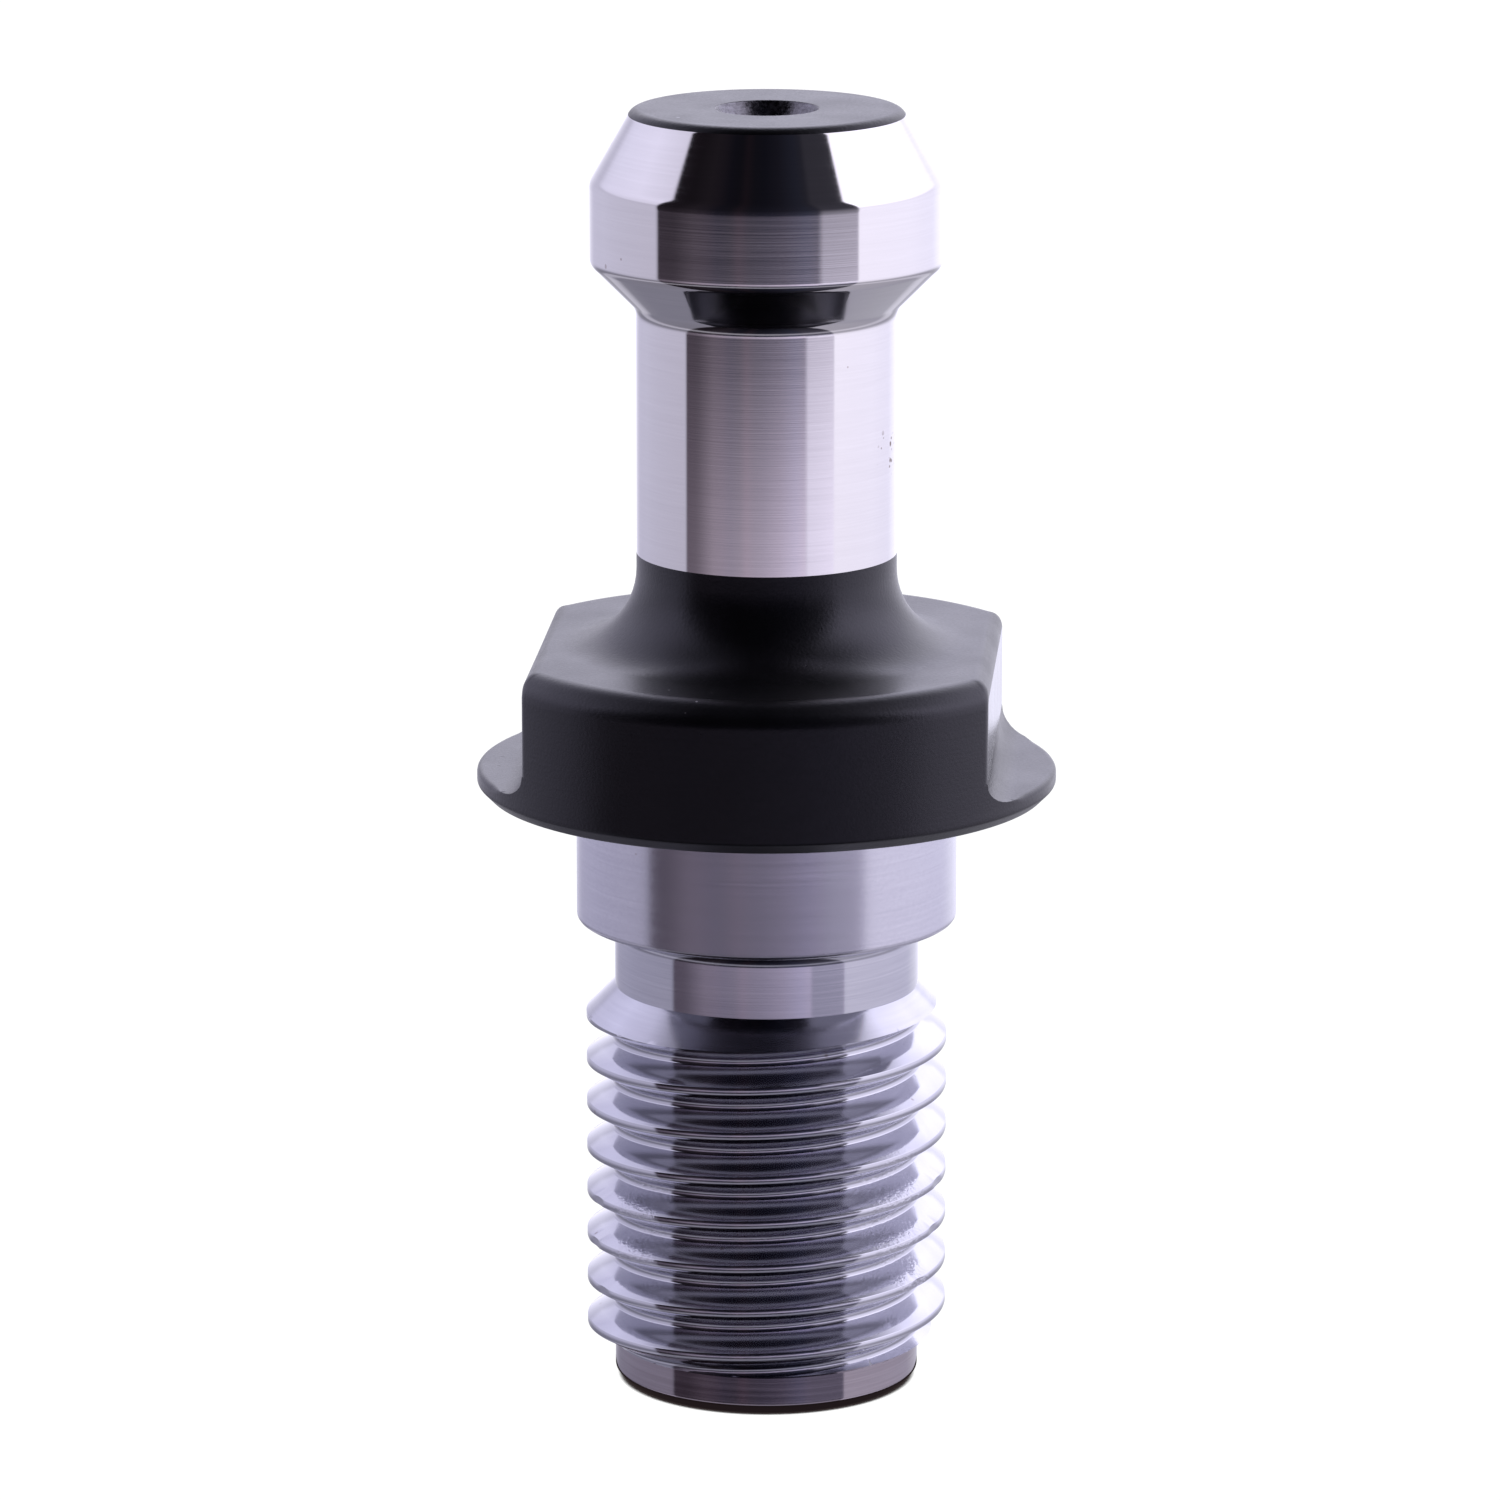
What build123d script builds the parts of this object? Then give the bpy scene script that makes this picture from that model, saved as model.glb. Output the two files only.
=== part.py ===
from build123d import *
from math import radians, tan
import os

# Pull stud for a steep-taper tool holder: one turned, milled and threaded piece of alloy steel.
# The origin is on its axis in the plane of the flange's seat face. +Z points to the gripped head,
# and the two wrench flats face +X and -X. Sizes are in millimetres, heights are from the seat face.

# Gripped head
HEAD_TOP = 45.0
HEAD_DIAMETER = 23.0
HEAD_CYLINDER_TOP = 40.2
HEAD_CYLINDER_BOTTOM = 35.0
HEAD_CONE_HALF_ANGLE = 30.0
GRIP_CONE_HALF_ANGLE = 45.0
HEAD_TOP_ROUND = 0.8
HEAD_SHOULDER_ROUND = 1.2
GRIP_EDGE_ROUND = 0.8
NECK_TOP_ROUND = 1.2

# Neck and flange
NECK_DIAMETER = 17.0
NECK_FILLET = 5.0
FLANGE_DIAMETER = 38.0
FLANGE_TOP = 9.8
FLANGE_TOP_BREAK = 1.1
FLANGE_SEAT_BREAK = 0.7

# Two wrench flats, with the ledge that the cutter leaves above the seat face
FLATS_WIDTH = 30.0
LEDGE_TOP = 1.6
CUTTER_CORNER_RADIUS = 1.6
FLAT_TOP_BREAK = 0.7

# Locating pilot and thread relief
PILOT_DIAMETER = 25.0
PILOT_LENGTH = 8.6
PILOT_END_ROUND = 0.3
RELIEF_DIAMETER = 20.0
RELIEF_ROUND = 1.5
RELIEF_END = -13.1

# M24 x 3 right-hand thread and the plain end below it
THREAD_MAJOR = 23.8
THREAD_ROOT = 20.32
THREAD_PITCH = 3.0
THREAD_START = -15.0
THREAD_END = -36.4
CREST_HEIGHT_AT_MINUS_Y = -17.48
ROOT_FLAT = THREAD_PITCH / 6
FLANK_HALF_ANGLE = 30.0
STUB_DIAMETER = 20.1
BOTTOM = -40.0
STUB_EDGE_BREAK = 0.6

# Grinding centres in both end faces
PILOT_DRILL_DIAMETER = 3.15
PILOT_DRILL_DEPTH = 7.0
COUNTERSINK_DIAMETER = 6.7
COUNTERSINK_ANGLE = 60.0
DRILL_POINT_ANGLE = 118.0


def drop(radius_change, half_angle):
    """The height that a cone of this half angle takes to change its radius by this much."""
    return radius_change / tan(radians(half_angle))


def turned_outline():
    """Half of the lengthwise section, before its corners are rounded."""
    head, neck, flange = HEAD_DIAMETER / 2, NECK_DIAMETER / 2, FLANGE_DIAMETER / 2
    pilot, relief, stub = PILOT_DIAMETER / 2, RELIEF_DIAMETER / 2, STUB_DIAMETER / 2
    thread = THREAD_MAJOR / 2
    top = head - (HEAD_TOP - HEAD_CYLINDER_TOP) * tan(radians(HEAD_CONE_HALF_ANGLE))
    neck_top = HEAD_CYLINDER_BOTTOM - drop(head - neck, GRIP_CONE_HALF_ANGLE)
    stub_top = THREAD_END - drop(thread - stub, 90 - FLANK_HALF_ANGLE)
    return {
        "bottom centre": (0, BOTTOM),
        "bottom edge": (stub - STUB_EDGE_BREAK, BOTTOM),
        "stub low": (stub, BOTTOM + STUB_EDGE_BREAK),
        "stub top": (stub, stub_top),
        "thread end": (thread, THREAD_END),
        "thread start": (thread, THREAD_START),
        "relief end": (relief, RELIEF_END),
        "relief start": (relief, -PILOT_LENGTH),
        "pilot end": (pilot, -PILOT_LENGTH),
        "seat inside": (pilot, 0),
        "seat outside": (flange - FLANGE_SEAT_BREAK, 0),
        "rim low": (flange, FLANGE_SEAT_BREAK),
        "rim high": (flange, FLANGE_TOP - FLANGE_TOP_BREAK),
        "flange edge": (flange - FLANGE_TOP_BREAK, FLANGE_TOP),
        "flange root": (neck, FLANGE_TOP),
        "neck top": (neck, neck_top),
        "grip edge": (head, HEAD_CYLINDER_BOTTOM),
        "shoulder": (head, HEAD_CYLINDER_TOP),
        "head edge": (top, HEAD_TOP),
        "top centre": (0, HEAD_TOP),
    }


def turned_blank():
    """The whole lathe-turned shape, with a plain cylinder where the thread goes."""
    corners = turned_outline()
    rounds = {
        "relief start": RELIEF_ROUND,
        "pilot end": PILOT_END_ROUND,
        "flange root": NECK_FILLET,
        "neck top": NECK_TOP_ROUND,
        "grip edge": GRIP_EDGE_ROUND,
        "shoulder": HEAD_SHOULDER_ROUND,
        "head edge": HEAD_TOP_ROUND,
    }
    section = Plane.XZ * make_face(Polyline(*corners.values(), close=True))
    for name, radius in rounds.items():
        radial, height = corners[name]
        corner = section.vertices().sort_by_distance((radial, 0, height))[0]
        section = fillet(corner, radius)
    return revolve(section, Axis.Z)


def flat_cutter():
    """What is cut off the +X side: the flat with its bevelled top edge, the corner round and the ledge."""
    flat = FLATS_WIDTH / 2
    outside = FLANGE_DIAMETER
    clear_height = FLANGE_TOP + FLAT_TOP_BREAK
    side = make_face(
        Polyline(
            (flat - 2 * FLAT_TOP_BREAK, clear_height),
            (flat, FLANGE_TOP - FLAT_TOP_BREAK),
            (flat, LEDGE_TOP),
            (outside, LEDGE_TOP),
            (outside, clear_height),
            close=True,
        )
    )
    inner_corner = side.vertices().sort_by_distance((flat, LEDGE_TOP, 0))[0]
    side = fillet(inner_corner, CUTTER_CORNER_RADIUS)
    return extrude(Plane.XZ * side, FLANGE_DIAMETER, both=True)


def thread_groove():
    """The helical groove between the crests, running out past both ends of the thread."""
    root = THREAD_ROOT / 2
    outside = THREAD_MAJOR / 2 + ROOT_FLAT
    half_root = ROOT_FLAT / 2
    half_mouth = half_root + (outside - root) * tan(radians(FLANK_HALF_ANGLE))
    turns = round((THREAD_START - THREAD_END) / THREAD_PITCH) + 2
    groove_at_plus_x = CREST_HEIGHT_AT_MINUS_Y - THREAD_PITCH / 4
    start = groove_at_plus_x + 2 * THREAD_PITCH - turns * THREAD_PITCH
    path = Pos(0, 0, start) * Helix(THREAD_PITCH, turns * THREAD_PITCH, root)
    profile = Plane.XZ * make_face(
        Polyline(
            (root, start - half_root),
            (root, start + half_root),
            (outside, start + half_mouth),
            (outside, start - half_mouth),
            close=True,
        )
    )
    return sweep(profile, path=path, is_frenet=True)


def centre_hole():
    """A grinding centre that opens upwards at height 0: countersink, pilot drilling and drill point."""
    mouth, drill = COUNTERSINK_DIAMETER / 2, PILOT_DRILL_DIAMETER / 2
    cone_depth = drop(mouth - drill, COUNTERSINK_ANGLE / 2)
    point_depth = drop(drill, DRILL_POINT_ANGLE / 2)
    section = Plane.XZ * make_face(
        Polyline(
            (0, 0),
            (mouth, 0),
            (drill, -cone_depth),
            (drill, -PILOT_DRILL_DEPTH),
            (0, -PILOT_DRILL_DEPTH - point_depth),
            close=True,
        )
    )
    return revolve(section, Axis.Z)


def pull_stud():
    """The finished stud."""
    flats = [Rot(0, 0, half_turn) * flat_cutter() for half_turn in (0, 180)]
    blank = turned_blank() - flats - thread_groove()
    centres = [
        Pos(0, 0, HEAD_TOP) * centre_hole(),
        Pos(0, 0, BOTTOM) * Rot(180, 0, 0) * centre_hole(),
    ]
    return blank - centres


os.makedirs("parts", exist_ok=True)
stud = pull_stud()
export_step(stud, "parts/pull_stud.step")
print("solids", len(stud.solids()), "volume", round(stud.volume, 1), "valid", stud.is_valid)
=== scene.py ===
import math

import bmesh
import bpy
import numpy as np
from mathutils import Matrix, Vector


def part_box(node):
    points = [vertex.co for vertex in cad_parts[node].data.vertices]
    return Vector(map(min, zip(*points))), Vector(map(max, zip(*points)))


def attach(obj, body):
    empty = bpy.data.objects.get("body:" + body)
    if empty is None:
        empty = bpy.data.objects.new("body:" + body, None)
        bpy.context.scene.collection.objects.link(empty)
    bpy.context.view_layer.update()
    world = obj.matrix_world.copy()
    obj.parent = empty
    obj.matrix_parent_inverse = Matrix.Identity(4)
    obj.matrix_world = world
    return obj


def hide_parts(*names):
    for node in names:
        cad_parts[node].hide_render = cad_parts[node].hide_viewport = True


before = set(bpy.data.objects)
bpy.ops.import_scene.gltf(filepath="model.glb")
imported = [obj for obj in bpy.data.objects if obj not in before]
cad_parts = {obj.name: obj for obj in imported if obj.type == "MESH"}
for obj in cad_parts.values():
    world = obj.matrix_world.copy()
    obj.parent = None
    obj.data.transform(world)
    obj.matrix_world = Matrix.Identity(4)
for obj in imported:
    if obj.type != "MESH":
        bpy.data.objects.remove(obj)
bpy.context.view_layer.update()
box_low, box_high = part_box("pull_stud")

MM = 0.001
NODE = "pull_stud"

# Sizes are in millimetres: radii from the axis, and heights from the seat face, the frame's origin plane.
BOTTOM = box_low.z / MM
TOP = box_high.z / MM
RIM = min(box_high.x, box_high.y, -box_low.x, -box_low.y) / MM

# Gripped head and neck
HEAD = 11.5
HEAD_SHOULDER = 40.2
HEAD_EDGE = 35.0
HEAD_CONE_TOP = HEAD - (TOP - HEAD_SHOULDER) * math.tan(math.radians(30))
HEAD_TOP_ROUND = 0.8
HEAD_SHOULDER_ROUND = 1.2
GRIP_EDGE_ROUND = 0.8
NECK = 8.5
NECK_TOP = HEAD_EDGE - (HEAD - NECK)
NECK_TOP_ROUND = 1.2
NECK_FILLET = 5.0

# Heights where one finish ends and the next begins
BLACK_TO_BRIGHT = 15.87
BLACK_TOP_START = 44.6

# Flange with its two flats
FLANGE_TOP = 9.8
FLANGE_TOP_BREAK = 1.1
FLANGE_SEAT_BREAK = 0.7
FLAT = 15.0
LEDGE = 1.6
LEDGE_EDGE_ROUND = 0.35
FLAT_TOP_BREAK = 0.7
CUTTER_CORNER = 1.6
CUTTER_STEPS = 8
CORNER_BLEND = 0.25

# Pilot and thread relief
PILOT = 12.5
PILOT_END = -8.6
PILOT_END_ROUND = 0.3
SEAT_GAP = 0.12
RELIEF = 10.0
RELIEF_ROUND = 1.5
RELIEF_END = -13.1

# Thread, its shoulder and the plain end
THREAD_CREST = 11.9
THREAD_ROOT = 10.16
PITCH = 3.0
FLANK = math.radians(30)
ROOT_FLAT = PITCH / 6
CREST_ROUND = 0.07
ROOT_ROUND = 0.16
CREST_AT_FRONT = -17.48
THREAD_END = -36.4
STUB = 10.05
STUB_EDGE_BREAK = 0.6
SHOULDER_LEAN = math.tan(math.radians(60))
SHOULDER_FOOT = THREAD_END - (THREAD_CREST - STUB) / SHOULDER_LEAN

# Turns along the helix are counted from the crest at the front: the groove starts thin between these two,
# and each dent in a crest is (turns, depth, width in degrees).
GROOVE_FULL = 0.594
GROOVE_STARTS = 0.928
DENTS = [
    (-3.18, 0.09, 4.5),
    (-4.19, 0.11, 5.0),
    (-2.79, 0.08, 4.5),
    (-3.80, 0.10, 4.5),
    (-5.17, 0.07, 4.5),
    (-4.83, 0.06, 4.0),
]

# Grinding centres
COUNTERSINK = 3.35
DRILL = 1.575
DRILL_DEPTH = 7.0
COUNTERSINK_DEPTH = (COUNTERSINK - DRILL) / math.tan(math.radians(30))
DRILL_POINT = DRILL / math.tan(math.radians(59))

# Places of wear: the stain on the neck, the torn thread flanks and the pits on the flange's ledge; and the
# place of the bright pinpricks on the flange's edge, which are painted glints
STAIN = {"At X": 8.1, "At Y": -2.6, "At Z": 23.2, "Reach": 1.9}
TORN_PLACES = [
    {"At X": -8.0, "At Y": -8.0, "At Z": -26.2, "Reach": 2.6},
    {"At X": -8.0, "At Y": -8.0, "At Z": -29.3, "Reach": 2.4},
    {"At X": 8.9, "At Y": -6.9, "At Z": -25.3, "Reach": 3.2},
    {"At X": 8.9, "At Y": -6.9, "At Z": -28.3, "Reach": 3.0},
    {"At X": 9.6, "At Y": -5.6, "At Z": -31.2, "Reach": 2.4},
]
GLINT_PINPRICKS = {"At X": -3.6, "At Y": -15.6, "At Z": 10.6, "Reach": 3.4}
PITS = {"At X": -17.0, "At Y": -2.0, "At Z": 1.6, "Reach": 3.5}


# ---------------------------------------------------------------- shape

def column_angles():
    """Angles of the mesh columns, closer together at the corners between the flats and the rim."""
    spacing, nearest = 1.5, 0.4
    corner = math.degrees(math.acos(FLAT / RIM))
    ledge_corner = math.degrees(math.acos((FLAT + CUTTER_CORNER) / RIM))
    fine = [-1.1, -0.75, -0.5, -0.25, 0.0, 0.25, 0.5, 0.75, 1.1]
    special = []
    for middle in (0.0, 180.0, -180.0):
        for side in (-1, 1):
            special += [middle + side * (corner + f) for f in fine]
            special.append(middle + side * ledge_corner)
    special = [s for s in special if -180 < s < 180]
    even = [a for a in np.arange(-180, 180.01, spacing) if min(abs(a - s) for s in special) > nearest]
    return np.radians(np.array(sorted(even + special)))


ANGLES = column_angles()
COUNT = len(ANGLES)
TURNS_ROUND = (ANGLES + math.pi / 2) / (2 * math.pi)


def on_round(first, corner, last, weight, u):
    """A point on the arc that rounds a corner. u is 0 at its first point and 1 at its last."""
    total = (1 - u) ** 2 + 2 * weight * u * (1 - u) + u * u
    return ((1 - u) ** 2 * first + 2 * weight * u * (1 - u) * corner + u * u * last) / total


def outline(corners):
    """Rows of points up an outline.

    Each corner is (radius, height, round, steps), and the first two are numbers or one value per column.
    A round takes at most round_share of the run on each side, and a row beside it keeps the rest flat.
    """
    beside, round_share, row_share = 0.12, 0.45, 0.49
    points = [np.stack([np.zeros(COUNT) + r, np.zeros(COUNT) + z], -1) for r, z, _, _ in corners]
    rows = [points[0]]
    for i in range(1, len(points) - 1):
        before, here, after = points[i - 1], points[i], points[i + 1]
        size, steps = corners[i][2], corners[i][3]
        if steps == 0:
            rows.append(here)
            continue
        run_in = np.linalg.norm(here - before, axis=1)[:, None]
        run_out = np.linalg.norm(after - here, axis=1)[:, None]
        way_in = (here - before) / np.maximum(run_in, 1e-9)
        way_out = (after - here) / np.maximum(run_out, 1e-9)
        half = np.arccos(np.clip((way_in * way_out).sum(1), -1, 1))[:, None] / 2
        reach = np.minimum(size * np.tan(half), round_share * np.minimum(run_in, run_out))
        first, last = here - way_in * reach, here + way_out * reach
        rows.append(here - way_in * np.minimum(reach + beside, row_share * run_in))
        rows += [on_round(first, here, last, np.cos(half), k / steps) for k in range(steps + 1)]
        rows.append(here + way_out * np.minimum(reach + beside, row_share * run_out))
    rows.append(points[-1])
    return rows


def arc(centre_r, centre_z, size, start, end, steps):
    """Rows along a circular arc, angles in degrees."""
    made = []
    for k in range(steps + 1):
        a = math.radians(start + (end - start) * k / steps)
        point = [centre_r + size * math.cos(a), centre_z + size * math.sin(a)]
        made.append(np.tile(point, (COUNT, 1)))
    return made


def thread_corner(height, radius, size, way_in, way_out):
    """Three (height, radius) points that round one corner of the thread's profile."""
    bend = (math.pi / 2 - FLANK) / 2
    corner, reach = np.array([height, radius]), size * math.tan(bend)
    first, last = corner - way_in * reach, corner + way_out * reach
    return [tuple(on_round(first, corner, last, math.cos(bend), u)) for u in (0.0, 0.5, 1.0)]


def thread_turn():
    """The thread's profile from the middle of one crest to the next, as (height, radius)."""
    root_start = (PITCH - ROOT_FLAT) / 2
    crest_half = root_start - (THREAD_CREST - THREAD_ROOT) * math.tan(FLANK)
    along, inward = np.array([1.0, 0.0]), np.array([math.sin(FLANK), -math.cos(FLANK)])
    half = [
        (0.0, THREAD_CREST),
        *thread_corner(crest_half, THREAD_CREST, CREST_ROUND, along, inward),
        ((crest_half + root_start) / 2, (THREAD_CREST + THREAD_ROOT) / 2),
        *thread_corner(root_start, THREAD_ROOT, ROOT_ROUND, inward, along),
        (PITCH / 2, THREAD_ROOT),
    ]
    return half[:-1] + [(PITCH - z, r) for z, r in reversed(half[1:])]


def thread_limit(height):
    """The radius that the start chamfer and the shoulder at the end leave to the thread."""
    return np.minimum(RELIEF + (RELIEF_END - height), STUB + (height - SHOULDER_FOOT) * SHOULDER_LEAN)


def worn_thread(r, groove, crest):
    """The thread's radii with the groove's thin start and the dents. groove and crest are in turns."""
    thin = (groove - GROOVE_FULL) / (GROOVE_STARTS - GROOVE_FULL)
    r = r + (THREAD_CREST - r) * np.clip(thin, 0, 1)
    for turns, depth, width in DENTS:
        away = np.abs(crest - turns) * 360 / width
        r = np.minimum(r, THREAD_CREST - depth * np.maximum(1 - away ** 2, 0))
    return r


def thread_rows():
    """Rows that follow the right-hand helix, cut off by the start chamfer above and the shoulder below."""
    turn = thread_turn()
    crest_height = CREST_AT_FRONT + PITCH * TURNS_ROUND
    low_turn = math.floor((SHOULDER_FOOT - crest_height.max()) / PITCH)
    high_turn = math.ceil((RELIEF_END - crest_height.min()) / PITCH)
    grooves = np.repeat(np.arange(low_turn, high_turn), len(turn))
    offsets = grooves * PITCH + np.tile([z for z, _ in turn], high_turn - low_turn)
    radii = np.tile([r for _, r in turn], high_turn - low_turn)
    z = np.clip(crest_height + offsets[:, None], SHOULDER_FOOT, RELIEF_END)
    r = np.tile(radii[:, None], (1, COUNT))
    r = worn_thread(r, grooves[:, None] + TURNS_ROUND, np.round(offsets / PITCH)[:, None] + TURNS_ROUND)

    # Where the thread passes through the chamfer or the shoulder, the nearer row moves onto the crossing.
    gap = r - thread_limit(z)
    made_r, made_z = np.minimum(r, thread_limit(z)), z.copy()
    crosses = gap[:-1] * gap[1:] < 0
    share = np.where(crosses, gap[:-1] / np.where(crosses, gap[:-1] - gap[1:], 1), 0)
    height = z[:-1] + share * (z[1:] - z[:-1])
    for step, chosen in ((0, crosses & (share < 0.5)), (1, crosses & (share >= 0.5))):
        i, j = np.nonzero(chosen)
        made_z[i + step, j] = height[i, j]
        made_r[i + step, j] = thread_limit(height[i, j])

    # The last column is the first one, a turn further up.
    above = np.minimum(np.arange(len(offsets)) + len(turn), len(offsets) - 1)
    made_z[:, -1], made_r[:, -1] = made_z[above, 0], made_r[above, 0]
    return list(np.stack([made_r, made_z], -1))


def flange_rows():
    """The seat break, rim, milled ledge with the cutter's corner, side and top break, column by column."""
    off_flat = np.abs(np.arctan2(np.sin(ANGLES), np.abs(np.cos(ANGLES))))
    cosine = np.maximum(np.cos(off_flat), 1e-6)
    plane = np.minimum(FLAT / cosine, 4 * RIM)
    blend = np.maximum(CORNER_BLEND - np.abs(plane - RIM), 0) / CORNER_BLEND
    side = np.minimum(plane, RIM) - blend ** 2 * CORNER_BLEND / 4
    reach = np.clip(FLAT + CUTTER_CORNER - RIM * cosine, 0, CUTTER_CORNER) / CUTTER_CORNER
    finish = np.arccos(reach)
    cutter_z = LEDGE + CUTTER_CORNER
    ledge_z = cutter_z - CUTTER_CORNER * np.sin(finish)
    rows = outline([
        (PILOT, 0.0, 0, 0),
        (PILOT + 0.4, 0.0, 0, 0),
        (RIM - FLANGE_SEAT_BREAK, 0.0, 0.2, 3),
        (RIM, FLANGE_SEAT_BREAK, 0.25, 3),
        (RIM, ledge_z, LEDGE_EDGE_ROUND, 4),
        (side + (CUTTER_CORNER - CUTTER_CORNER * np.cos(finish)) / cosine, ledge_z, 0, 0),
    ])
    for k in range(1, CUTTER_STEPS + 1):
        a = finish * (1 - k / CUTTER_STEPS)
        corner_r = side + CUTTER_CORNER * (1 - np.cos(a)) / cosine
        rows.append(np.stack([corner_r, cutter_z - CUTTER_CORNER * np.sin(a)], -1))
    inner = np.minimum(RIM - FLANGE_TOP_BREAK, side - FLAT_TOP_BREAK)
    drop = np.maximum(FLAT_TOP_BREAK, side - (RIM - FLANGE_TOP_BREAK))
    rows += outline([
        (side, cutter_z, 0, 0),
        (side, (cutter_z + FLANGE_TOP) / 2, 0, 0),
        (side, FLANGE_TOP - drop, 1.2, 4),
        (inner, FLANGE_TOP, 1.5, 4),
        ((NECK + NECK_FILLET + inner) / 2, FLANGE_TOP, 0, 0),
        (NECK + NECK_FILLET, FLANGE_TOP, 0, 0),
    ])[1:]
    return rows


def end_rows():
    """The lower centre, the end face and the plain end."""
    return outline([
        (0.0, BOTTOM + DRILL_DEPTH + DRILL_POINT, 0, 0),
        (DRILL, BOTTOM + DRILL_DEPTH, 0.1, 2),
        (DRILL, BOTTOM + COUNTERSINK_DEPTH, 0.1, 2),
        (COUNTERSINK, BOTTOM, 0.12, 2),
        (STUB - STUB_EDGE_BREAK, BOTTOM, 0.15, 2),
        (STUB, BOTTOM + STUB_EDGE_BREAK, 0.2, 2),
        (STUB, BOTTOM + 1.6, 0, 0),
    ])


def pilot_rows():
    """The relief and the pilot, up to the narrow gap in the corner under the seat face."""
    return outline([
        (RELIEF, RELIEF_END, 0, 0),
        (RELIEF, (RELIEF_END + PILOT_END) / 2, 0, 0),
        (RELIEF, PILOT_END, RELIEF_ROUND, 8),
        (PILOT, PILOT_END, PILOT_END_ROUND, 4),
        (PILOT, -5.0, 0, 0),
        (PILOT, -0.35, 0, 0),
        (PILOT - SEAT_GAP, -0.2, 0.05, 2),
        (PILOT - SEAT_GAP, 0.0, 0, 0),
    ])


def head_rows():
    """The neck, the head and the upper centre."""
    return outline([
        (NECK, FLANGE_TOP + NECK_FILLET, 0, 0),
        (NECK, BLACK_TO_BRIGHT - 0.12, 0, 0),
        (NECK, BLACK_TO_BRIGHT, 0, 0),
        (NECK, 22.0, 0, 0),
        (NECK, NECK_TOP, NECK_TOP_ROUND, 6),
        (HEAD, HEAD_EDGE, GRIP_EDGE_ROUND, 5),
        (HEAD, HEAD_SHOULDER, HEAD_SHOULDER_ROUND, 5),
        (HEAD_CONE_TOP, TOP, HEAD_TOP_ROUND, 6),
        (COUNTERSINK, TOP, 0.12, 3),
        (DRILL, TOP - COUNTERSINK_DEPTH, 0.1, 2),
        (DRILL, TOP - DRILL_DEPTH, 0.1, 2),
        (0.0, TOP - DRILL_DEPTH - DRILL_POINT, 0, 0),
    ])


def stud_rows():
    """Every row of the stud, from the middle of the threaded end up to the middle of the head."""
    fillet = arc(NECK + NECK_FILLET, FLANGE_TOP + NECK_FILLET, NECK_FILLET, 270, 180, 14)
    return end_rows() + thread_rows() + pilot_rows()[1:] + flange_rows() + fillet[1:] + head_rows()[1:]


def stud_mesh(name):
    """The rows joined into one closed skin."""
    rows = np.array(stud_rows())
    count = len(rows)
    x = rows[:, :, 0] * np.cos(ANGLES)
    y = rows[:, :, 0] * np.sin(ANGLES)
    points = np.stack([x, y, rows[:, :, 1]], -1).reshape(-1, 3) * MM
    i, j = np.meshgrid(np.arange(count - 1), np.arange(COUNT - 1), indexing="ij")
    first = (i * COUNT + j).ravel()
    faces = np.stack([first, first + 1, first + COUNT + 1, first + COUNT], -1)
    mesh = bpy.data.meshes.new(name)
    mesh.from_pydata(points.tolist(), [], faces.tolist())
    work = bmesh.new()
    work.from_mesh(mesh)
    bmesh.ops.remove_doubles(work, verts=work.verts, dist=1.5e-6)
    bmesh.ops.dissolve_degenerate(work, edges=work.edges, dist=1e-7)
    work.to_mesh(mesh)
    work.free()
    return mesh


# ---------------------------------------------------------------- finishes

def link_all(tree, pairs):
    for a, b in pairs:
        tree.links.new(a, b)


def math_node(tree, kind, a, b=None, clamp=False):
    node = tree.nodes.new("ShaderNodeMath")
    node.operation = kind
    node.use_clamp = clamp
    for socket, value in ((node.inputs[0], a), (node.inputs[1], b)):
        if value is None:
            continue
        if isinstance(value, (int, float)):
            socket.default_value = value
        else:
            tree.links.new(value, socket)
    return node.outputs[0]


def mix_values(tree, share, a, b):
    """a where share is 0, b where it is 1."""
    return math_node(
        tree, "ADD", math_node(tree, "MULTIPLY", a, 1 - share), math_node(tree, "MULTIPLY", b, share))


def mix_colours(tree, share, a, b):
    """a where share is 0, b where it is 1, each a colour or a socket."""
    node = tree.nodes.new("ShaderNodeMix")
    node.data_type = "RGBA"
    for socket, value in ((node.inputs[0], share), (node.inputs[6], a), (node.inputs[7], b)):
        if isinstance(value, tuple):
            socket.default_value = (*value, 1.0)
        elif isinstance(value, float):
            socket.default_value = value
        else:
            tree.links.new(value, socket)
    return node.outputs[2]


def span(tree, value, low, high):
    """A 0 to 1 value turned into low to high."""
    return math_node(tree, "ADD", math_node(tree, "MULTIPLY", value, high - low), low)


def swing(tree, noise, contrast):
    """Noise spread about 0.5 and kept within 0 to 1."""
    away = math_node(tree, "MULTIPLY", math_node(tree, "SUBTRACT", noise, 0.5), contrast)
    return math_node(tree, "ADD", away, 0.5, clamp=True)


def bump(tree, shader, height, strength, depth):
    """A relief this many millimetres deep in the shader's surface."""
    node = tree.nodes.new("ShaderNodeBump")
    node.inputs["Strength"].default_value = strength
    node.inputs["Distance"].default_value = depth * MM
    tree.links.new(height, node.inputs["Height"])
    tree.links.new(node.outputs[0], shader.inputs["Normal"])


def place(tree):
    """x, y, height and radius of a point, in millimetres."""
    where = tree.nodes.new("ShaderNodeTexCoord").outputs["Object"]
    split = tree.nodes.new("ShaderNodeSeparateXYZ")
    tree.links.new(where, split.inputs[0])
    x, y, z = (math_node(tree, "MULTIPLY", s, 1 / MM) for s in split.outputs)
    square = math_node(
        tree, "ADD", math_node(tree, "MULTIPLY", x, x), math_node(tree, "MULTIPLY", y, y))
    return x, y, z, math_node(tree, "SQRT", math_node(tree, "MAXIMUM", square, 1e-6))


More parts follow.
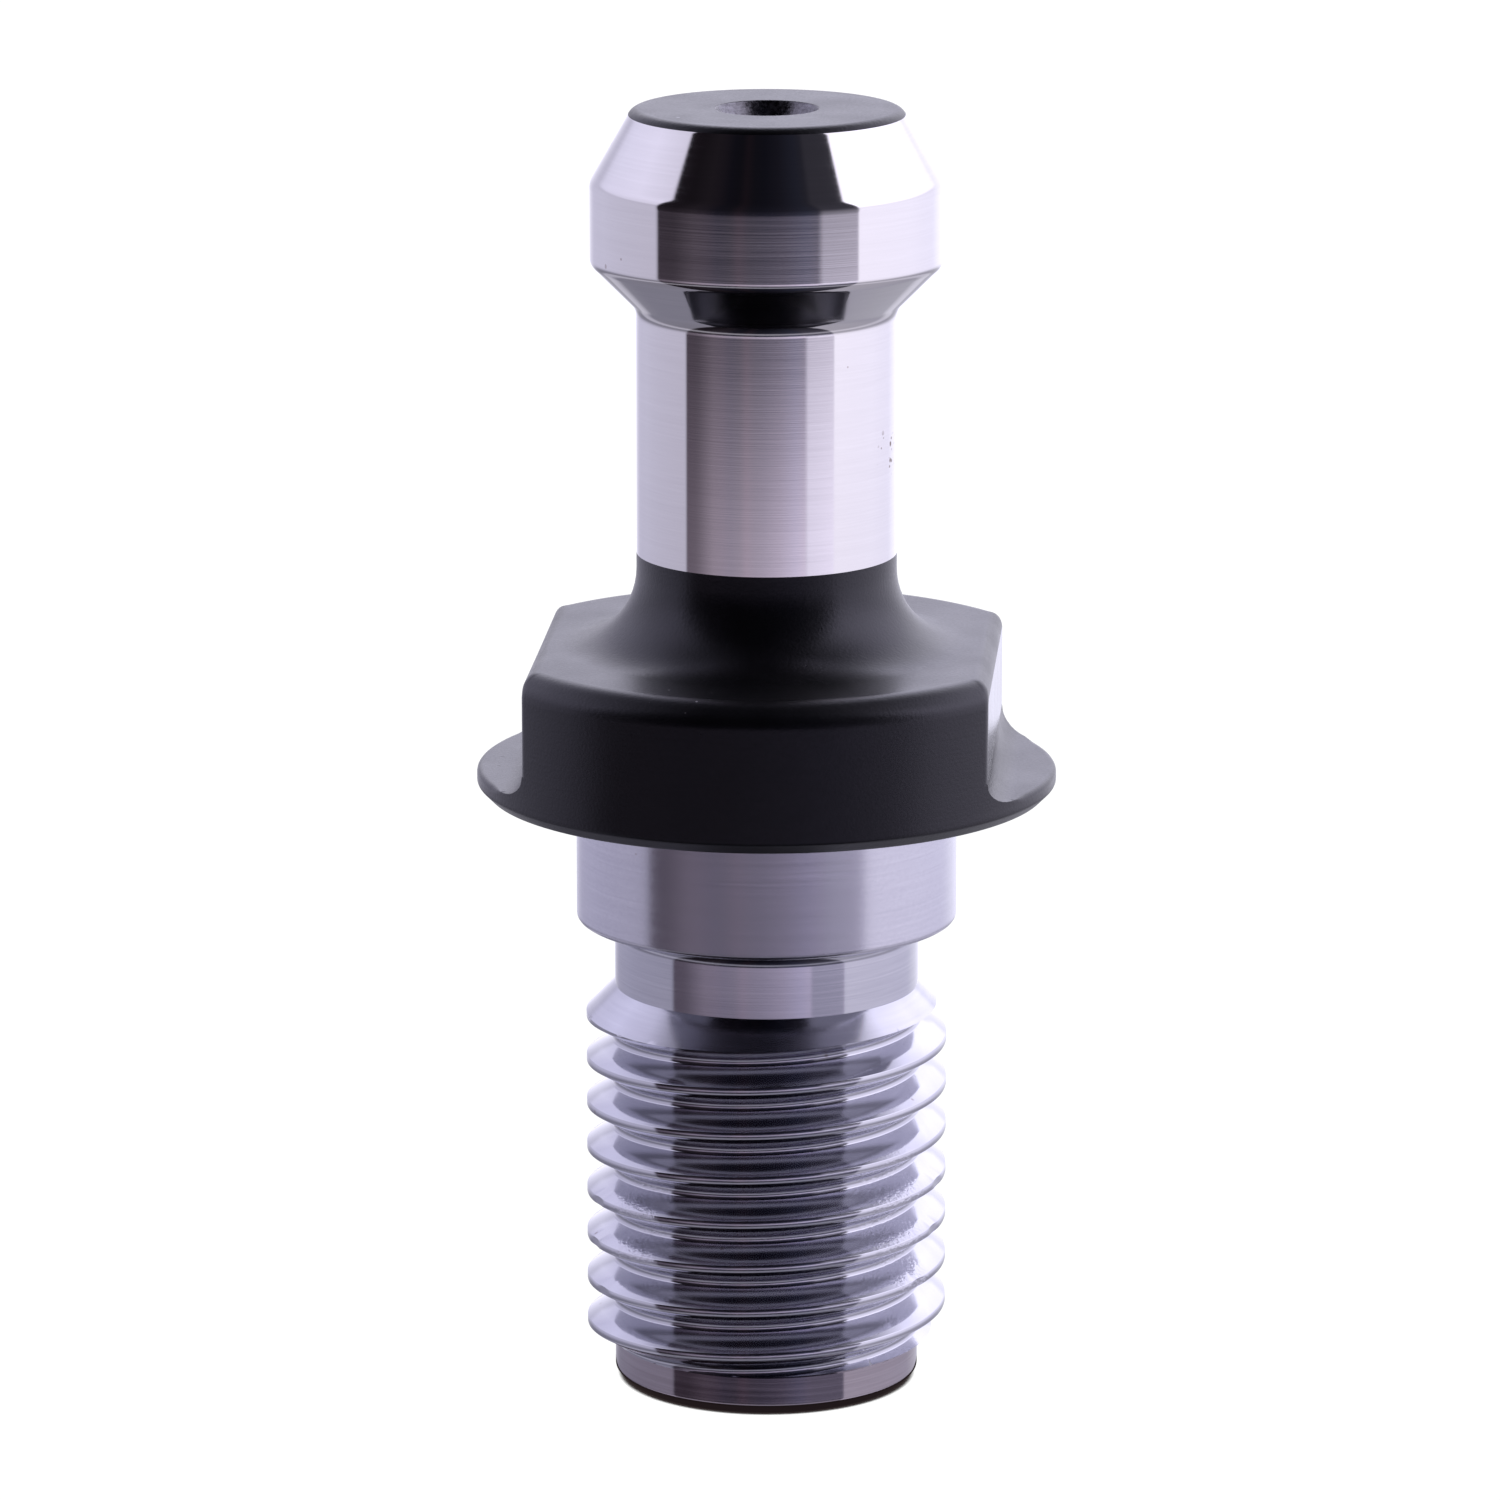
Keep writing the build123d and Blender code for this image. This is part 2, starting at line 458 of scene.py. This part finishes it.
def seeded_place(tree, seed):
    """The point in millimetres, moved up by the seed so that each use has a pattern of its own."""
    x, y, z, _ = place(tree)
    spot = tree.nodes.new("ShaderNodeCombineXYZ")
    link_all(tree, (
        (x, spot.inputs[0]),
        (y, spot.inputs[1]),
        (math_node(tree, "ADD", z, seed), spot.inputs[2]),
    ))
    return spot.outputs[0]


def new_group(name, inputs, output):
    """A shader group with number inputs {name: default} and one number output."""
    tree = bpy.data.node_groups.new(name, "ShaderNodeTree")
    for label, value in inputs.items():
        socket = tree.interface.new_socket(label, in_out="INPUT", socket_type="NodeSocketFloat")
        socket.default_value = value
    tree.interface.new_socket(output, in_out="OUTPUT", socket_type="NodeSocketFloat")
    return tree, tree.nodes.new("NodeGroupInput").outputs, tree.nodes.new("NodeGroupOutput").inputs[0]


def lathe_lines_group():
    """Fine lines round the axis, as turning and grinding leave them."""
    tree, given, result = new_group(
        "lathe_lines", {"Fineness": 6.0, "Length": 2.0, "Seed": 0.0, "Sharpness": 1.0}, "Lines")
    x, y, z, r = place(tree)
    along = math_node(tree, "ADD", z, math_node(tree, "MULTIPLY", r, 0.63))
    level = math_node(tree, "ADD", math_node(tree, "MULTIPLY", along, given["Fineness"]), given["Seed"])
    turn = tree.nodes.new("ShaderNodeCombineXYZ")
    for socket, side in ((turn.inputs[0], x), (turn.inputs[1], y)):
        unit = math_node(tree, "DIVIDE", side, r)
        tree.links.new(math_node(tree, "MULTIPLY", unit, given["Length"]), socket)
    tree.links.new(level, turn.inputs[2])
    noise = tree.nodes.new("ShaderNodeTexNoise")
    noise.inputs["Scale"].default_value = 1.0
    noise.inputs["Detail"].default_value = 3.0
    noise.inputs["Roughness"].default_value = 0.6
    tree.links.new(turn.outputs[0], noise.inputs["Vector"])
    tree.links.new(swing(tree, noise.outputs[0], given["Sharpness"]), result)
    return tree


def grain_group():
    """An even grain with no direction."""
    tree, given, result = new_group("grain", {"Fineness": 3.0, "Seed": 0.0, "Contrast": 1.0}, "Grain")
    noise = tree.nodes.new("ShaderNodeTexNoise")
    noise.inputs["Detail"].default_value = 4.0
    link_all(tree, (
        (seeded_place(tree, given["Seed"]), noise.inputs["Vector"]),
        (given["Fineness"], noise.inputs["Scale"]),
        (swing(tree, noise.outputs[0], given["Contrast"]), result),
    ))
    return tree


def specks_group():
    """Scattered small round marks. Amount is the share of the cells that hold one."""
    tree, given, result = new_group(
        "specks", {"Fineness": 1.2, "Size": 0.25, "Amount": 0.1, "Seed": 0.0}, "Specks")
    cells = tree.nodes.new("ShaderNodeTexVoronoi")
    tree.links.new(seeded_place(tree, given["Seed"]), cells.inputs["Vector"])
    tree.links.new(given["Fineness"], cells.inputs["Scale"])
    pick = tree.nodes.new("ShaderNodeSeparateColor")
    tree.links.new(cells.outputs["Color"], pick.inputs[0])
    chosen = math_node(tree, "LESS_THAN", pick.outputs[0], given["Amount"])
    size = math_node(tree, "MULTIPLY", given["Size"], math_node(tree, "ADD", pick.outputs[1], 0.3))
    away = math_node(tree, "DIVIDE", cells.outputs["Distance"], size)
    inside = math_node(tree, "SUBTRACT", 1.0, away, clamp=True)
    soft = math_node(tree, "MULTIPLY", inside, 2.5, clamp=True)
    tree.links.new(math_node(tree, "MULTIPLY", soft, chosen), result)
    return tree


def patch_group():
    """1 at one place on the surface, fading to 0 at Reach millimetres from it."""
    tree, given, result = new_group(
        "patch", {"At X": 0.0, "At Y": 0.0, "At Z": 0.0, "Reach": 2.0}, "Patch")
    total = 0.0
    for value, label in zip(place(tree), ("At X", "At Y", "At Z")):
        away = math_node(tree, "SUBTRACT", value, given[label])
        total = math_node(tree, "ADD", math_node(tree, "MULTIPLY", away, away), total)
    near = math_node(tree, "DIVIDE", math_node(tree, "SQRT", total), given["Reach"])
    tree.links.new(math_node(tree, "SUBTRACT", 1.0, near, clamp=True), result)
    return tree


LINES, GRAIN, SPECKS, PATCH = lathe_lines_group(), grain_group(), specks_group(), patch_group()


def use(tree, group, **values):
    """The output of a group placed in this material with its own values."""
    node = tree.nodes.new("ShaderNodeGroup")
    node.node_tree = group
    for label, value in values.items():
        node.inputs[label].default_value = value
    return node.outputs[0]


def specks_at(tree, where, strength, **values):
    """Specks that are only found round one place."""
    spots = use(tree, SPECKS, **values)
    near = math_node(tree, "MULTIPLY", use(tree, PATCH, **where), strength, clamp=True)
    return math_node(tree, "MULTIPLY", spots, near, clamp=True)


def torn_flanks(tree):
    """Ragged chips where the thread's flanks were torn by the cut."""
    chips = 0.0
    for where in TORN_PLACES:
        near = math_node(tree, "MULTIPLY", use(tree, PATCH, **where), 2.5, clamp=True)
        chips = math_node(tree, "MAXIMUM", near, chips)
    ragged = use(tree, GRAIN, Fineness=3.2, Seed=8.0, Contrast=5.0)
    return math_node(tree, "MULTIPLY", math_node(tree, "MULTIPLY", ragged, chips), 14.0)


def new_material(name):
    material = bpy.data.materials.new(name)
    material.use_nodes = True
    tree = material.node_tree
    return material, tree, tree.nodes["Principled BSDF"]


def machined_steel(name, dark, light, smooth, rough, fineness, directed, line_depth,
                   grainy=0.0, stained=False, torn=False):
    """Bright steel cut or ground on centres: smooth and rough are the roughness along the fine lines."""
    material, tree, shader = new_material(name)
    lines = use(tree, LINES, Fineness=fineness, Length=0.7, Sharpness=1.8)
    wide = use(tree, LINES, Fineness=fineness * 0.16, Length=1.2, Seed=7.0, Sharpness=1.6)
    both = mix_values(tree, 0.4, lines, wide)
    if grainy:
        grain = use(tree, GRAIN, Fineness=4.5, Seed=1.0, Contrast=1.9)
        both = mix_values(tree, grainy, both, grain)
        lines = mix_values(tree, grainy, lines, grain)
    colour = mix_colours(tree, both, dark, light)
    marks = use(tree, SPECKS, Fineness=0.9, Size=0.16, Amount=0.035, Seed=3.0)
    colour = mix_colours(tree, math_node(tree, "MULTIPLY", marks, 0.45), colour, (0.16, 0.11, 0.09))
    if stained:
        stain = specks_at(tree, STAIN, 2.0, Fineness=2.6, Size=0.42, Amount=0.42, Seed=4.0)
        colour = mix_colours(tree, stain, colour, (0.10, 0.055, 0.04))
    tree.links.new(colour, shader.inputs["Base Color"])
    shader.inputs["Metallic"].default_value = 1.0
    tree.links.new(span(tree, lines, smooth, rough), shader.inputs["Roughness"])
    shader.inputs["Anisotropic"].default_value = directed
    shader.inputs["Anisotropic Rotation"].default_value = 0.25
    tangent = tree.nodes.new("ShaderNodeTangent")
    tangent.direction_type = "RADIAL"
    tangent.axis = "Z"
    tree.links.new(tangent.outputs[0], shader.inputs["Tangent"])
    if torn:
        both = math_node(tree, "ADD", both, torn_flanks(tree))
    bump(tree, shader, both, 0.35, line_depth)
    return material


def black_oxide(name, smooth, rough, shine, ring_depth):
    """The chemical black finish: thin, satin, with a faint cloud and pits, and a few bright pinpricks that
    are painted glints.
    """
    material, tree, shader = new_material(name)
    cloud = use(tree, GRAIN, Fineness=0.22, Seed=5.0, Contrast=2.0)
    fine = use(tree, GRAIN, Fineness=5.0, Seed=11.0, Contrast=1.6)
    rings = use(tree, LINES, Fineness=4.0, Length=1.2, Seed=2.0, Sharpness=1.6)
    # Painted glints: bright pinpricks in the base colour, scattered, and more of them on the flange's front
    # edge.
    pricks = use(tree, SPECKS, Fineness=0.55, Size=0.10, Amount=0.05, Seed=9.0)
    bright = specks_at(tree, GLINT_PINPRICKS, 1.6, Fineness=1.5, Size=0.14, Amount=0.6, Seed=6.0)
    pits = specks_at(tree, PITS, 2.0, Fineness=1.6, Size=0.24, Amount=0.4, Seed=13.0)
    colour = mix_colours(tree, cloud, (0.0016, 0.0015, 0.0020), (0.0040, 0.0036, 0.0044))
    colour = mix_colours(tree, math_node(tree, "MULTIPLY", pricks, 0.6), colour, (0.45, 0.45, 0.50))
    colour = mix_colours(tree, bright, colour, (0.55, 0.54, 0.58))
    tree.links.new(colour, shader.inputs["Base Color"])
    shader.inputs["IOR"].default_value = 1.45
    shader.inputs["Specular Tint"].default_value = (0.94, 0.93, 1.10, 1.0)
    shader.inputs["Specular IOR Level"].default_value = shine
    blend = mix_values(tree, 0.5, fine, cloud)
    tree.links.new(span(tree, blend, smooth, rough), shader.inputs["Roughness"])
    height = mix_values(tree, 0.35, fine, rings)
    height = math_node(tree, "SUBTRACT", height, math_node(tree, "MULTIPLY", pits, 3.0))
    bump(tree, shader, height, 0.3, ring_depth)
    return material


def centre_steel_with_painted_shade(name):
    """The inside of a centre hole: bare steel, rough from the centre drill, with its colour darkened as
    painted shade of the hole.
    """
    material, tree, shader = new_material(name)
    grain = use(tree, GRAIN, Fineness=4.0, Seed=2.0, Contrast=2.4)
    rings = use(tree, LINES, Fineness=5.0, Length=1.5, Seed=4.0, Sharpness=1.8)
    both = mix_values(tree, 0.5, grain, rings)
    # Painted shade: the hole's steel colour is kept very dark to stand in for the shade inside the hole.
    colour = mix_colours(tree, both, (0.04, 0.037, 0.045), (0.24, 0.235, 0.27))
    tree.links.new(colour, shader.inputs["Base Color"])
    shader.inputs["Metallic"].default_value = 1.0
    tree.links.new(span(tree, grain, 0.18, 0.38), shader.inputs["Roughness"])
    bump(tree, shader, both, 0.5, 0.03)
    return material


FINISHES = {
    "polished": machined_steel(
        "ground_bright_steel", dark=(0.59, 0.575, 0.60), light=(0.66, 0.645, 0.67), smooth=0.05, rough=0.10,
        fineness=11.0, directed=0.7, line_depth=0.0012, stained=True),
    "satin": machined_steel(
        "satin_ground_steel", dark=(0.48, 0.475, 0.56), light=(0.62, 0.615, 0.70), smooth=0.17, rough=0.28,
        fineness=7.0, directed=0.5, line_depth=0.0055, grainy=0.3),
    "turned": machined_steel(
        "turned_steel", dark=(0.40, 0.40, 0.47), light=(0.54, 0.54, 0.61), smooth=0.07, rough=0.13,
        fineness=6.0, directed=0.6, line_depth=0.002, torn=True),
    "turned end": machined_steel(
        "turned_steel_at_the_end", dark=(0.36, 0.315, 0.36), light=(0.50, 0.45, 0.51), smooth=0.06,
        rough=0.11, fineness=5.0, directed=0.6, line_depth=0.002),
    "black": black_oxide("black_oxide", smooth=0.25, rough=0.40, shine=0.55, ring_depth=0.035),
    "black turned": black_oxide(
        "black_oxide_on_turned_face", smooth=0.24, rough=0.42, shine=0.40, ring_depth=0.06),
    "black milled": black_oxide(
        "black_oxide_on_milled_flat", smooth=0.10, rough=0.16, shine=0.5, ring_depth=0.004),
    "centre": centre_steel_with_painted_shade("centre_hole_steel_and_painted_shade"),
}


def finish_of(x, y, z):
    """Which finish a face has, from its middle in millimetres."""
    if math.hypot(x, y) < COUNTERSINK and (z > BLACK_TO_BRIGHT or z < THREAD_END):
        return "centre"
    if z > BLACK_TOP_START:
        return "black turned"
    if z > BLACK_TO_BRIGHT:
        return "polished"
    if z > LEDGE + CUTTER_CORNER and abs(abs(x) - FLAT) < 0.002:
        return "black milled"
    if z > 0.02:
        return "black"
    if z > PILOT_END + 0.05:
        return "satin"
    return "turned" if z > THREAD_END - 1.2 else "turned end"


def add_finishes(mesh):
    """Gives each face its finish, and keeps only the corners sharper than 35 degrees sharp."""
    for finish in FINISHES.values():
        mesh.materials.append(finish)
    order = list(FINISHES)
    middles = np.zeros(len(mesh.polygons) * 3)
    mesh.polygons.foreach_get("center", middles)
    middles = middles.reshape(-1, 3) / MM
    mesh.polygons.foreach_set("material_index", [order.index(finish_of(*middle)) for middle in middles])
    mesh.polygons.foreach_set("use_smooth", [True] * len(mesh.polygons))
    mesh.set_sharp_from_angle(angle=math.radians(35))
    mesh.update()


mesh = stud_mesh("pull_stud_surface")
add_finishes(mesh)
stud = bpy.data.objects.new("pull_stud_machined", mesh)
bpy.context.scene.collection.objects.link(stud)
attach(stud, "root")
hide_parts(NODE)


# ---------------------------------------------------------------- studio

# The camera: angles in degrees, distances in millimetres from the axis and from the seat face
CAMERA_TURN = 4.0
CAMERA_TILT = 13.13
CAMERA_AWAY = 511.4
CAMERA_RISE = 121.8
CAMERA_ASIDE = 1.087
LENS = 192.0
SENSOR = 36.0

# The table: its painted contact shadow where the end stands on it, its two pale tones, the radius of the
# disc of painted shade that reflections see, its size, and its gap under the end
SHADOW = (0.030, 0.022, 0.022)
TABLE_PALE = ((1.04, 1.04, 1.04), (1.10, 1.10, 1.10))
PAINTED_SHADE_DISC = STUB + 0.9
TABLE_HALF_SIZE = 6000.0
TABLE_GAP = 0.02

# The room round the part, as levels of light against the direction in degrees from straight in front.
# PEAK is the brightest level that a table can hold, and the backdrop is a share of it.
PEAK = 2.0
BACKDROP = (0.53, 0.53, 0.53)

# Two wide soft panels at the sides that meet in a white wall behind
PANELS = [
    (-180, (1.32, 1.30, 1.56)),
    (-168, (1.12, 1.10, 1.28)),
    (-158, (0.84, 0.82, 0.98)),
    (-148, (0.70, 0.68, 0.85)),
    (-128, (0.76, 0.74, 0.91)),
    (-72.0, (0.73, 0.70, 0.84)),
    (-71.0, (0.0, 0.0, 0.0)),
    (64.6, (0.0, 0.0, 0.0)),
    (65.8, (1.36, 1.31, 1.48)),
    (110, (1.32, 1.28, 1.47)),
    (140, (1.20, 1.17, 1.38)),
    (150, (1.30, 1.28, 1.46)),
    (164, (1.36, 1.34, 1.54)),
    (180, (1.32, 1.30, 1.56)),
]

# The dim gap between the panels, where the camera is
FRONT = [
    (-71.5, (0.0, 0.0, 0.0)),
    (-71.0, (0.11, 0.085, 0.115)),
    (-58, (0.095, 0.075, 0.10)),
    (-44, (0.15, 0.12, 0.155)),
    (-36, (0.125, 0.10, 0.14)),
    (-28, (0.07, 0.065, 0.105)),
    (-20, (0.065, 0.06, 0.09)),
    (-14, (0.12, 0.085, 0.12)),
    (-7, (0.075, 0.07, 0.105)),
    (2, (0.07, 0.07, 0.115)),
    (15, (0.11, 0.105, 0.165)),
    (30, (0.18, 0.19, 0.30)),
    (39, (0.24, 0.23, 0.32)),
    (65, (0.24, 0.23, 0.32)),
    (65.5, (0.0, 0.0, 0.0)),
]

# The far edge of the table in that gap, a white card to the right of it, and the table close by
STRIP = [
    (-71.5, 0.0), (-71.0, 0.10), (-62, 0.14), (-45, 0.34), (0, 0.62), (30, 0.85), (37, 0.9), (40, 0.0),
]
CARD = [(37, 0.0), (40.5, 0.95), (64.6, 1.08), (65.6, 0.0)]
APRON = [
    (-180, 0.26), (-120, 0.30), (-72, 0.34), (-55, 0.38), (0, 0.40), (55, 0.38), (72, 0.30), (120, 0.26),
    (180, 0.26),
]

# Shares of those levels against the sine of the height angle
PANELS_UP = [
    (-1, 0.40), (-0.44, 0.40), (-0.36, 0.38), (-0.30, 0.48), (-0.275, 0.60), (-0.262, 0.72),
    (-0.25, 0.79), (-0.20, 1.0), (-0.16, 1.06), (0.0, 1.06), (0.15, 1.02), (0.22, 1.34), (0.5, 1.55),
    (0.7, 1.3), (0.85, 0.5), (0.95, 0.08), (1, 0.04),
]
FRONT_UP = [
    (-1, 0.05), (-0.33, 0.35), (-0.28, 0.8), (-0.25, 0.95), (-0.185, 1.0), (-0.168, 0.35),
    (-0.1, 0.25), (0.05, 0.22), (0.25, 0.14), (0.5, 0.13), (1, 0.08),
]
STRIP_UP = [
    (-1, 0.0), (-0.33, 0.0), (-0.30, 0.03), (-0.28, 0.12), (-0.268, 0.5), (-0.257, 1.0),
    (-0.251, 0.85), (-0.236, 0.82), (-0.215, 1.12), (-0.205, 1.12), (-0.192, 0.55), (-0.18, 0.10),
    (-0.168, 0.0), (1, 0.0),
]
CARD_UP = [
    (-1, 0.0), (-0.31, 0.02), (-0.285, 0.06), (-0.265, 0.2), (-0.25, 0.27), (-0.235, 0.5),
    (-0.21, 1.0), (-0.19, 0.9), (-0.178, 0.68), (-0.170, 0.38), (-0.160, 0.24), (-0.12, 0.22),
    (0, 0.16), (0.15, 0.06), (0.3, 0.02), (1, 0.01),
]
APRON_UP = [
    (-1, 0.0), (-0.54, 0.0), (-0.48, 1.0), (-0.42, 1.1), (-0.38, 0.1), (-0.35, 0.0), (1, 0.0),
]

# Each light of the room: its levels round and up, and its hue
ROOM = [
    (PANELS, PANELS_UP, (1.0, 1.0, 1.0)),
    (FRONT, FRONT_UP, (1.0, 1.0, 1.0)),
    (STRIP, STRIP_UP, (1.0, 0.87, 1.03)),
    (CARD, CARD_UP, (1.15, 1.08, 1.24)),
    (APRON, APRON_UP, (1.0, 0.97, 1.08)),
]


def table_shade(tree):
    """1 on the open table, 0 in the thin line of painted contact shadow where the end touches it."""
    shade = tree.nodes.new("ShaderNodeAmbientOcclusion")
    shade.samples = 12
    shade.inputs["Distance"].default_value = 0.5 * MM
    ramp = tree.nodes.new("ShaderNodeMapRange")
    ramp.interpolation_type = "SMOOTHSTEP"
    for label, value in (("From Min", 0.30), ("From Max", 0.66), ("To Min", 0.0), ("To Max", 1.0)):
        ramp.inputs[label].default_value = value
    tree.links.new(shade.outputs["AO"], ramp.inputs["Value"])
    return ramp.outputs[0]


def table_material():
    """A pale table top with a painted contact shadow where the end touches it; reflections see a disc of
    painted shade.
    """
    material, tree, shader = new_material("pale_table")
    grain = use(tree, GRAIN, Fineness=0.05, Contrast=0.2)
    # Painted contact shadow: the SHADOW colour is mixed in where the ambient occlusion is low.
    colour = mix_colours(tree, table_shade(tree), SHADOW, mix_colours(tree, grain, *TABLE_PALE))
    shader.inputs["Base Color"].default_value = (0.0, 0.0, 0.0, 1.0)
    shader.inputs["Roughness"].default_value = 1.0
    shader.inputs["Specular IOR Level"].default_value = 0.0
    seen = tree.nodes.new("ShaderNodeLightPath").outputs["Is Camera Ray"]
    tree.links.new(mix_colours(tree, seen, SHADOW, colour), shader.inputs["Emission Color"])
    shader.inputs["Emission Strength"].default_value = 1.0
    # Painted shade for reflections: a dark disc of the SHADOW colour under the end.
    under = math_node(tree, "LESS_THAN", place(tree)[3], PAINTED_SHADE_DISC)
    clear = tree.nodes.new("ShaderNodeBsdfTransparent")
    blend = tree.nodes.new("ShaderNodeMixShader")
    link_all(tree, (
        (math_node(tree, "MAXIMUM", seen, under), blend.inputs[0]),
        (clear.outputs[0], blend.inputs[1]),
        (shader.outputs[0], blend.inputs[2]),
        (blend.outputs[0], tree.nodes["Material Output"].inputs["Surface"]),
    ))
    return material


def add_table():
    mesh = bpy.data.meshes.new("table")
    size, level = TABLE_HALF_SIZE * MM, box_low.z - TABLE_GAP * MM
    corners = [(-size, -size, level), (size, -size, level), (size, size, level), (-size, size, level)]
    mesh.from_pydata(corners, [], [(0, 1, 2, 3)])
    mesh.materials.append(table_material())
    table = bpy.data.objects.new("table", mesh)
    bpy.context.scene.collection.objects.link(table)


def ramp_node(tree, value, stops, low, high):
    """A straight-line table of levels or colours over low to high, as shares of PEAK."""
    share = math_node(tree, "DIVIDE", math_node(tree, "SUBTRACT", value, low), high - low, clamp=True)
    node = tree.nodes.new("ShaderNodeValToRGB")
    marks = node.color_ramp.elements
    while len(marks) > 1:
        marks.remove(marks[-1])
    for k, (at, level) in enumerate(stops):
        position = min(max((at - low) / (high - low), 0.0), 1.0)
        mark = marks[0] if k == 0 else marks.new(position)
        mark.position = position
        colour = level if isinstance(level, tuple) else (level,) * 3
        mark.color = (*(part / PEAK for part in colour), 1.0)
    tree.links.new(share, node.inputs[0])
    return node.outputs[0]


def colour_math(tree, kind, a, b):
    """Two colours added or multiplied part by part."""
    node = tree.nodes.new("ShaderNodeVectorMath")
    node.operation = kind
    for socket, value in ((node.inputs[0], a), (node.inputs[1], b)):
        if isinstance(value, tuple):
            socket.default_value = value
        else:
            tree.links.new(value, socket)
    return node.outputs[0]


def add_room():
    """The room's lights added up as one surrounding. The camera sees plain white past the table."""
    world = bpy.data.worlds.new("soft_room")
    bpy.context.scene.world = world
    world.use_nodes = True
    tree = world.node_tree
    where = tree.nodes.new("ShaderNodeTexCoord").outputs["Generated"]
    split = tree.nodes.new("ShaderNodeSeparateXYZ")
    tree.links.new(where, split.inputs[0])
    x, y, z = split.outputs
    turn = math_node(tree, "ARCTAN2", x, math_node(tree, "MULTIPLY", y, -1.0))
    degrees = math_node(tree, "MULTIPLY", turn, 180 / math.pi)
    light = (0.0, 0.0, 0.0)
    for around, upward, hue in ROOM:
        level = colour_math(
            tree, "MULTIPLY", ramp_node(tree, degrees, around, -180, 180), ramp_node(tree, z, upward, -1, 1))
        part = colour_math(tree, "MULTIPLY", level, tuple(PEAK * h for h in hue))
        light = colour_math(tree, "ADD", part, light)
    seen = tree.nodes.new("ShaderNodeLightPath").outputs["Is Camera Ray"]
    back = tree.nodes["Background"]
    tree.links.new(mix_colours(tree, seen, light, BACKDROP), back.inputs["Color"])
    back.inputs["Strength"].default_value = PEAK


def add_camera():
    turn, tilt = math.radians(CAMERA_TURN), math.radians(CAMERA_TILT)
    back = Vector((math.sin(turn), -math.cos(turn), 0))
    right = Vector((math.cos(turn), math.sin(turn), 0))
    up = Vector((0, 0, 1))
    data = bpy.data.cameras.new("camera")
    data.lens = LENS
    data.sensor_width = SENSOR
    data.clip_start, data.clip_end = 0.01, 20.0
    camera = bpy.data.objects.new("camera", data)
    camera.location = (back * CAMERA_AWAY - right * CAMERA_ASIDE + up * CAMERA_RISE) * MM
    look = -back * math.cos(tilt) - up * math.sin(tilt)
    camera.rotation_mode = "QUATERNION"
    camera.rotation_quaternion = look.to_track_quat("-Z", "Y")
    bpy.context.scene.collection.objects.link(camera)
    bpy.context.scene.camera = camera


add_table()
add_room()
add_camera()
bpy.context.scene.view_settings.view_transform = "Standard"
